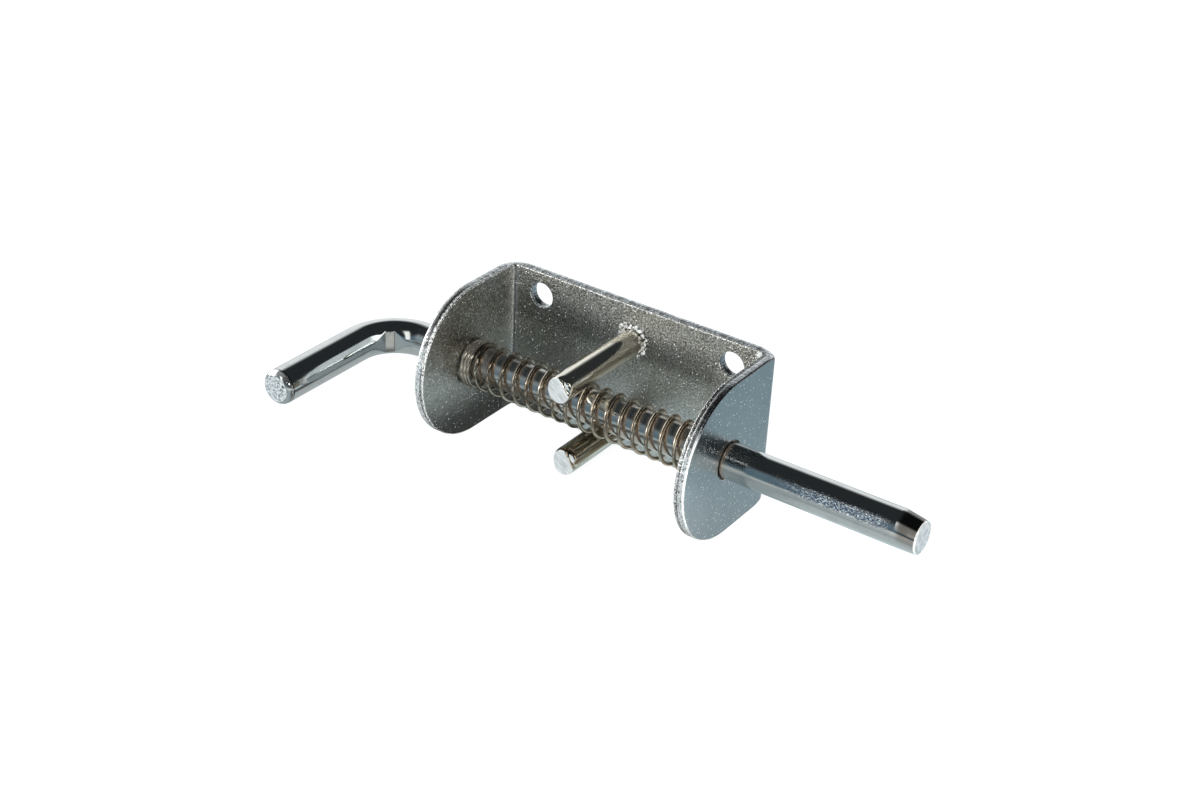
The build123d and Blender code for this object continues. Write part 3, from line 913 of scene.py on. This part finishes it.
# lumps that stand out, as (degrees round the pin, distance from its middle, radius, rise) in mm
placed_lumps = {
    "upper": [(134, 7.9, 1.35, 0.7), (122, 8.3, 0.95, 0.4), (163, 7.6, 0.65, 0.3), (97, 7.0, 0.9, 0.5),
              (80, 7.4, 0.8, 0.4), (58, 7.3, 1.0, 0.6), (36, 7.5, 0.75, 0.5), (24, 7.9, 0.7, 0.4),
              (12, 8.0, 0.65, 0.4), (-30, 7.0, 0.95, 0.8), (-70, 7.0, 0.7, 0.3)],
    "lower": [(120, 7.4, 1.0, 0.5), (60, 7.4, 0.9, 0.5), (10, 7.6, 0.8, 0.4), (-60, 7.5, 1.0, 0.4),
              (-140, 7.4, 0.8, 0.4)],
}
for place_name, roll_side, roll_depth in (("upper", radians(38), 0.36), ("lower", radians(34), 0.38)):
    pin_low, pin_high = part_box(place_name + "_pin")
    pin_radius = (pin_high.x - pin_low.x) / 2
    pin_z = (pin_high.z + pin_low.z) / 2
    pin_length = pin_high.y - pin_low.y

    def on_pin(along, radius, angle):
        """Place of a point of the pin, whose free end is pressed in where the shear came through."""
        near_end = exp(-((along / crop_reach) ** 2))
        chord = (1 - roll_depth) / max(cos(angle - roll_side), 0.05)
        pressed = max(1 - chord, 0) + back_press * max(cos(angle - back_side), 0) ** 2
        reach = radius * (1 - (end_draw + pressed) * near_end)
        lean = crop_lean * near_end * max(cos(angle - roll_side), 0) * (radius / pin_radius) ** 2
        return Vector((reach * cos(angle), pin_low.y + along + lean, pin_z + reach * sin(angle)))

    profile = end_face(0, 1, pin_radius, pin_edge)
    profile += [(s * mm, pin_radius) for s in (0.4, 0.65, 0.95, 1.3, 1.7, 2.2, 2.8, 3.6)]
    profile += [(plain_from + (pin_length - plain_from) * i / plain_steps, pin_radius)
                for i in range(plain_steps)]
    profile += list(reversed(end_face(pin_length, -1, pin_radius, foot_edge)))
    pin = turned(place_name + "_stop_pin", profile, on_pin)
    pin.data.materials.append(drawn_zinc)
    pin.data.materials.append(sheared_end)
    for face in pin.data.polygons:
        face.material_index = 1 if face.normal.y < -0.8 else 0
    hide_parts(place_name + "_pin")
    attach(pin, "bracket_assembly")

    bead = bmesh.new()
    lumps = list(placed_lumps[place_name])
    for i in range(lumps_round_foot):
        degree = 360 * (i + spatter.random() * 0.8) / lumps_round_foot
        away, size = spatter.uniform(6.1, 6.9), spatter.uniform(0.45, 0.85)
        lumps.append((degree, away, size, spatter.uniform(0.2, 1.1)))
    for degree, away, size, rise in lumps:
        spot = Vector((away * cos(radians(degree)), 0, away * sin(radians(degree)))) * mm
        spot += Vector((0, -strip_thickness - rise * mm, pin_z))
        wide, thick, high = spatter.uniform(0.8, 1.2), spatter.uniform(0.7, 1.0), spatter.uniform(0.8, 1.2)
        shape = Matrix.Diagonal((wide, thick, high, 1))
        turn = Matrix.Rotation(-radians(degree), 4, "Y")
        bmesh.ops.create_icosphere(
            bead,
            subdivisions=3,
            radius=size * lump_growth * mm,
            matrix=Matrix.Translation(spot) @ turn @ shape,
        )
    lump_object = piece_from(place_name + "_weld_lumps", bead)
    melt = lump_object.modifiers.new("melt", "REMESH")
    melt.mode = "VOXEL"
    melt.voxel_size = melt_grain
    view = bpy.context.evaluated_depsgraph_get()
    melted = bpy.data.meshes.new_from_object(lump_object.evaluated_get(view))
    bpy.data.objects.remove(lump_object)
    bead = bmesh.new()
    bead.from_mesh(melted)
    for vert in bead.verts:
        spot = vert.co / (0.7 * mm)
        vert.co += vert.normal * (noise.noise(spot) * 0.16 * mm + noise.noise(spot * 0.45) * 0.20 * mm)
    bmesh.ops.bisect_plane(
        bead,
        geom=bead.verts[:] + bead.edges[:] + bead.faces[:],
        plane_co=(0, -strip_thickness, 0),
        plane_no=(0, 1, 0),
        clear_outer=True,
    )
    open_edges = [edge for edge in bead.edges if edge.is_boundary]
    bmesh.ops.triangle_fill(bead, use_beauty=True, edges=open_edges)
    for face in bead.faces:
        face.smooth = face.normal.y < 0.9
    bmesh.ops.recalc_face_normals(bead, faces=bead.faces)
    weld = piece_from(place_name + "_weld_bead", bead)
    weld.data.materials.append(weld_metal)
    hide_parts(place_name + "_pin_weld")
    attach(weld, "bracket_assembly")


# studio
# The latch stands on a white sweep that is lit from behind, in a dark room: its bright metal shows the
# sweep low down, and the room above it.
bpy.context.scene.view_settings.view_transform = "Standard"
floor_work = bmesh.new()
for corner in ((-3, -3), (3, -3), (3, 3), (-3, 3)):
    floor_work.verts.new((corner[0], corner[1], bracket_low.z - 0.05 * mm))
floor_work.faces.new(floor_work.verts)
floor = piece_from("white_floor", floor_work)
# in the metal the paper shows a painted glow, a map of light and shade by place; to the camera it is white,
# with the part's faint shadow
paper, tree = finish_for("white_paper_painted_glow", (0.9, 0.9, 0.9, 1))
spot = tree.place()
flat_away = tree.measure("LENGTH", spot)
spot_x = tree.coordinate("X", spot)
spot_y = tree.coordinate("Y", spot)
to_right = spot_x.rise(-0.02, 0.08)
to_front = (spot_y + spot_x * 0.35).fall(-0.10, 0.06)
front_left = tree.tint(flat_away.rise(0.16, 0.60), (0.40, 0.47, 0.50, 1), (0.13, 0.20, 0.24, 1))
front_left = tree.tint(flat_away.fall(0.125, 0.165), front_left, (0.065, 0.065, 0.055, 1))
rear_left = tree.tint(flat_away.rise(0.13, 0.28), (0.36, 0.46, 0.54, 1), (0.98, 1.0, 1.0, 1))
front_right = tree.tint(flat_away.rise(0.12, 0.22), (0.40, 0.46, 0.48, 1), (0.85, 0.86, 0.84, 1))
rear_right = tree.tint(flat_away.rise(0.08, 0.16), (0.34, 0.43, 0.46, 1), (0.26, 0.355, 0.395, 1))
front_glow = tree.tint(to_right, front_left, front_right)
rear_glow = tree.tint(to_right, rear_left, rear_right)
open_glow = tree.tint(to_front, rear_glow, front_glow)
# painted light: pale patches of glow beside the handle, the nose and the bend
beside_handle = spot_x.fall(-0.078, -0.066) * spot_y.rise(-0.098, -0.080) * spot_y.fall(0.0, 0.03)
open_glow = tree.tint(beside_handle * 0.8, open_glow, (0.62, 0.68, 0.70, 1))
beside_nose = spot_x.rise(0.074, 0.095) * spot_y.fall(-0.045, -0.020) * spot_y.rise(-0.09, -0.065)
open_glow = tree.tint(beside_nose * 0.8, open_glow, (0.66, 0.72, 0.73, 1))
under_nose = spot_x.rise(0.088, 0.106) * spot_y.fall(-0.026, -0.008) * spot_y.rise(-0.05, -0.03)
open_glow = tree.tint(under_nose * 0.8, open_glow, (0.72, 0.84, 0.90, 1))
before_bend = tree.measure("DISTANCE", spot, (-45 * mm, -86 * mm, bracket_low.z))
open_glow = tree.tint(before_bend.fall(0.009, 0.015) * 0.8, open_glow, (0.78, 0.80, 0.78, 1))
# painted shadow and light under the part: the glow is dark under its left, pale blue in the middle and warm
# under its right
under_left = tree.tint(spot_x.rise(-0.050, -0.028), (0.06, 0.065, 0.062, 1), (0.58, 0.69, 0.72, 1))
under_glow = tree.tint(spot_x.rise(0.036, 0.050), under_left, (0.95, 0.88, 0.76, 1))
beyond_part = flat_away.rise(0.062, 0.105)
glow_colour = tree.tint(spot_x.rise(0.066, 0.070).most(beyond_part), under_glow, open_glow)
to_camera = tree.add("ShaderNodeLightPath", output="Is Camera Ray")
to_metal = tree.add("ShaderNodeLightPath", output="Is Glossy Ray")
matt = tree.add("ShaderNodeBsdfDiffuse", {}, {"Color": (0.80, 0.80, 0.80, 1)})
glow = tree.add("ShaderNodeEmission", {}, {
    "Color": tree.tint(to_camera, glow_colour, (1, 1, 1, 1)), "Strength": 1.0 + to_camera * 0.15,
})
share = to_camera * 0.80 + to_metal * 0.97
mixed = tree.add("ShaderNodeMixShader", {}, {0: share, 1: matt, 2: glow})
tree.add("ShaderNodeOutputMaterial", {}, {"Surface": mixed})
floor.data.materials.append(paper)

# the camera stands at the photo's viewing angle
camera_azimuth, camera_elevation, camera_roll = radians(33.6366), radians(29.9923), radians(2.9707)
camera_place = Vector((410.24, -645.24, 427.50)) * mm
level_back = Vector((sin(camera_azimuth), -cos(camera_azimuth), 0))
back = level_back * cos(camera_elevation) + Vector((0, 0, sin(camera_elevation)))
level_right = back.cross(Vector((0, 0, 1))) * -1
level_right.normalize()
level_up = back.cross(level_right)
right = level_right * cos(camera_roll) + level_up * sin(camera_roll)
up = level_up * cos(camera_roll) - level_right * sin(camera_roll)
camera_data = bpy.data.cameras.new("camera")
camera_data.sensor_width = 36
camera_data.lens = 59.34
camera = in_scene("camera", camera_data)
camera.matrix_world = Matrix.Translation(camera_place) @ Matrix((right, up, back)).transposed().to_4x4()
bpy.context.scene.camera = camera

# the room round the sweep, with a light patch of wall that only the metal shows
world = bpy.data.worlds.new("studio")
world.use_nodes = True
world.node_tree.nodes.clear()
bpy.context.scene.world = world
tree = Tree(world.node_tree)
look = tree.add("ShaderNodeTexCoord", output="Generated")
sideways = tree.coordinate("X", look)
rearward = tree.coordinate("Y", look)
height = tree.coordinate("Z", look)
sweep = tree.measure("DOT_PRODUCT", look, (-0.62, 0.78, 0.0)).rise(-0.45, 0.35)
low_band = tree.tint(sweep, (0.13, 0.20, 0.25, 1), (1.05, 1.09, 1.11, 1))
above_sweep = (height - 0.40 + sideways * 0.36).rise(-0.17, 0.17)
room = tree.tint(above_sweep, low_band, (0.026, 0.031, 0.034, 1))
left_wall = sideways.fall(-0.70, -0.60) * height.fall(0.75, 0.90) * rearward.fall(0.40, 0.55)
front_wall = sideways.rise(-0.24, -0.14) * sideways.fall(0.02, 0.12) * rearward.fall(-0.50, -0.35)
front_wall = front_wall * height.rise(0.05, 0.20) * height.fall(0.75, 0.90)
in_metal = tree.add("ShaderNodeLightPath", output="Is Glossy Ray")
room = tree.tint(left_wall.most(front_wall * 0.45) * in_metal, room, (3.2, 3.2, 3.1, 1))
seen = tree.add("ShaderNodeLightPath", output="Is Camera Ray")
sky = tree.tint(seen, room, (1, 1, 1, 1))
background = tree.add("ShaderNodeBackground", {}, {"Color": sky, "Strength": 1.0})
tree.add("ShaderNodeOutputWorld", {}, {"Surface": background})

for name, spot, target, size, power, colour, seen_in_metal in (
    ("rear_softbox", (-0.9, 1.1, 1.3), (-0.1, 0.2, 0), 1.0, 15, (0.80, 0.95, 1.0), False),
    ("top_softbox", (0.1, -0.2, 1.6), (0, 0, 0), 1.2, 8, (0.80, 0.95, 1.0), False),
    ("front_softbox", (0.55, -1.1, 0.8), (0, 0, 0), 0.6, 25, (1.0, 0.99, 0.97), False),
    ("flash", (0.468, -0.558, 0.529), (0, 0, 0), 0.06, 0.06, (1.0, 0.99, 0.97), True),
    ("right_softbox", (1.02, -0.30, 0.55), (0, 0, 0), 0.25, 1.0, (1.0, 1.0, 0.98), True),
    ("left_softbox", (-0.98, -0.66, 0.38), (0, 0, 0), 0.22, 2.4, (1.0, 1.0, 0.98), True),
):
    lamp = bpy.data.lights.new(name, "AREA")
    lamp.shape = "DISK"
    lamp.size = size
    lamp.energy = power
    lamp.color = colour
    lamp_object = in_scene(name, lamp)
    lamp_object.location = spot
    lamp_object.rotation_euler = (Vector(target) - Vector(spot)).to_track_quat("-Z", "Y").to_euler()
    lamp_object.visible_glossy = seen_in_metal
